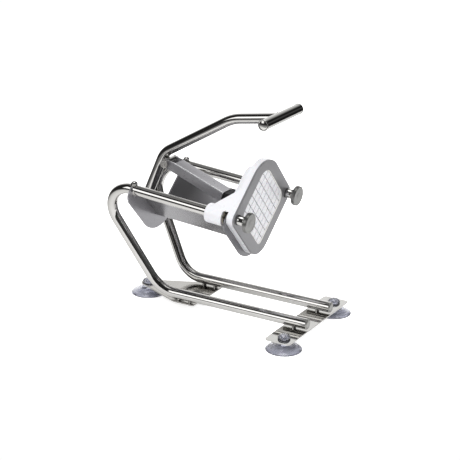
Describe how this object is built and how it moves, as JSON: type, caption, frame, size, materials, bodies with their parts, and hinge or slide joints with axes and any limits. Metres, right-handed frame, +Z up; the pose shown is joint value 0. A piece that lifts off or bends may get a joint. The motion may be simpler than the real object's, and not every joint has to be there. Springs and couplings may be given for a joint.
{
  "type": "lever french fry cutter",
  "caption": "Lever-operated french fry cutter: bent-tube stand on suction cups, V-trough with sliding stud pusher, toggle link, and a square blade grid held by thumb knobs.",
  "frame": {"origin": "centre of the bounding box on the floor the suction cups stand on", "axes": "+X forward, the way the fries leave; +Y to the left side; +Z up"},
  "size_m": [0.3418, 0.2148, 0.3278],
  "materials": {
    "polished_steel": "polished",
    "mirror_plate": "mirror polished sheet",
    "satin_steel": "satin",
    "blade_steel": "ground",
    "white_plastic": "moulded, slightly glossy",
    "black_plastic": "moulded",
    "clear_cup": "clear soft vinyl"
  },
  "bodies": {
    "stand": {"frame_tube_right": "polished_steel", "frame_tube_left": "polished_steel", "base_end_plugs": "polished_steel", "front_cross_plate": "mirror_plate", "rear_base_plate": "satin_steel", "tube_spacers": "polished_steel", "base_screws": "polished_steel", "suction_cup_front_right": "clear_cup", "suction_cup_front_left": "clear_cup", "suction_cup_rear": "clear_cup", "rear_support_plate": "satin_steel", "front_support_plate": "satin_steel", "rail_saddles": "polished_steel", "rail_studs": "polished_steel", "dome_nuts": "polished_steel", "v_trough": "satin_steel", "pivot_lugs": "satin_steel", "pivot_pin": "polished_steel", "pivot_clips": "satin_steel", "head_block": "white_plastic", "front_clamp_plate": "satin_steel", "knob_washers": "black_plastic", "blade_ring": "blade_steel", "blades_across": "blade_steel", "blades_down": "blade_steel", "rail_end_nuts": "polished_steel"},
    "lever": {"lever_tube": "polished_steel", "lever_pivot_bush": "polished_steel", "link_bush": "polished_steel", "handle_tube": "polished_steel", "handle_end_caps": "polished_steel"},
    "link": {"push_link": "satin_steel", "link_front_pin": "polished_steel", "link_bolt": "polished_steel", "link_nut": "polished_steel"},
    "pusher": {"pusher_block": "black_plastic", "stud_matrix": "white_plastic", "pusher_screws": "polished_steel"},
    "knob_right": {"knob_disc_right": "satin_steel", "knob_stud_right": "polished_steel"},
    "knob_left": {"knob_disc_left": "satin_steel", "knob_stud_left": "polished_steel"}
  },
  "joints": [
    {"name": "lever_pivot", "type": "hinge", "parent": "stand", "child": "lever", "pos_m": [-0.15316, 0, 0.13833], "axis": [0, -1, 0], "range_deg": [0, 75]},
    {"name": "link_pivot", "type": "hinge", "parent": "lever", "child": "link", "pos_m": [-0.10331, 0, 0.22117], "axis": [0, -1, 0], "range_deg": [-61.58, 0]},
    {"name": "pusher_slide", "type": "slide", "parent": "stand", "child": "pusher", "axis": [-0.9969, 0, 0.0785], "range_m": [0, 0.11206]},
    {"name": "knob_right_turn", "type": "hinge", "parent": "stand", "child": "knob_right", "pos_m": [0.06991, -0.0736, 0.17895], "axis": [0.9969, 0, -0.0785], "continuous": true},
    {"name": "knob_left_turn", "type": "hinge", "parent": "stand", "child": "knob_left", "pos_m": [0.06991, 0.0736, 0.17895], "axis": [0.9969, 0, -0.0785], "continuous": true}
  ],
  "couplings": [
    {"joint": "link_pivot", "follows": "lever_pivot", "ratio": -0.82046},
    {"joint": "pusher_slide", "follows": "lever_pivot", "m_per_rad": 0.085529}
  ]
}
